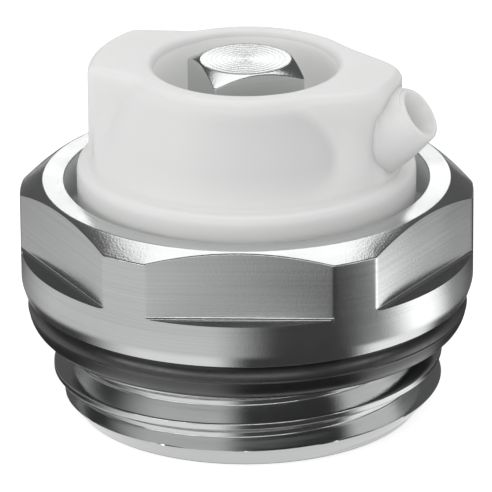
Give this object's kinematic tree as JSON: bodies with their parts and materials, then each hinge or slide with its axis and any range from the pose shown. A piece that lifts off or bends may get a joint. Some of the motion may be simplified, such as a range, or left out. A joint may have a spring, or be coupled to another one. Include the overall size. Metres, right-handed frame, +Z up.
{
  "type": "radiator bleed plug",
  "caption": "Self-sealing radiator plug with pipe thread, collar seal, spanner flats, a plastic outlet head that turns and a square bleed screw.",
  "frame": {"origin": "centre of the lower end face of the pipe thread, on which the plug stands", "axes": "+Z up along the plug's axis, out of the radiator; +X to the right and +Y to the back of the picture's view; the spout looks 20 degrees from +X towards -Y"},
  "size_m": [0.0242, 0.024, 0.0193],
  "materials": {
    "nickel_plated_brass": "brushed nickel plating",
    "white_plastic": "satin moulded",
    "black_rubber": "smooth matt"
  },
  "bodies": {
    "plug": {"plug_body": "nickel_plated_brass", "collar_o_ring": "black_rubber", "spigot_o_ring": "black_rubber"},
    "head": {"outlet_head": "white_plastic"},
    "screw_ring": {"shank_o_ring": "black_rubber"},
    "screw": {"bleed_screw": "nickel_plated_brass", "seat_washer": "black_rubber"}
  },
  "joints": [
    {"name": "head_turn", "type": "hinge", "parent": "plug", "child": "head", "pos_m": [0, 0, 0.0127], "axis": [0, 0, 1], "continuous": true},
    {"name": "screw_lift", "type": "slide", "parent": "plug", "child": "screw_ring", "axis": [0, 0, 1], "range_m": [0, 0.001]},
    {"name": "screw_turn", "type": "hinge", "parent": "screw_ring", "child": "screw", "pos_m": [0, 0, 0.0127], "axis": [0, 0, 1], "range_deg": [0, 360]}
  ],
  "couplings": [
    {"joint": "screw_turn", "follows": "screw_lift", "rad_per_m": 6283}
  ]
}
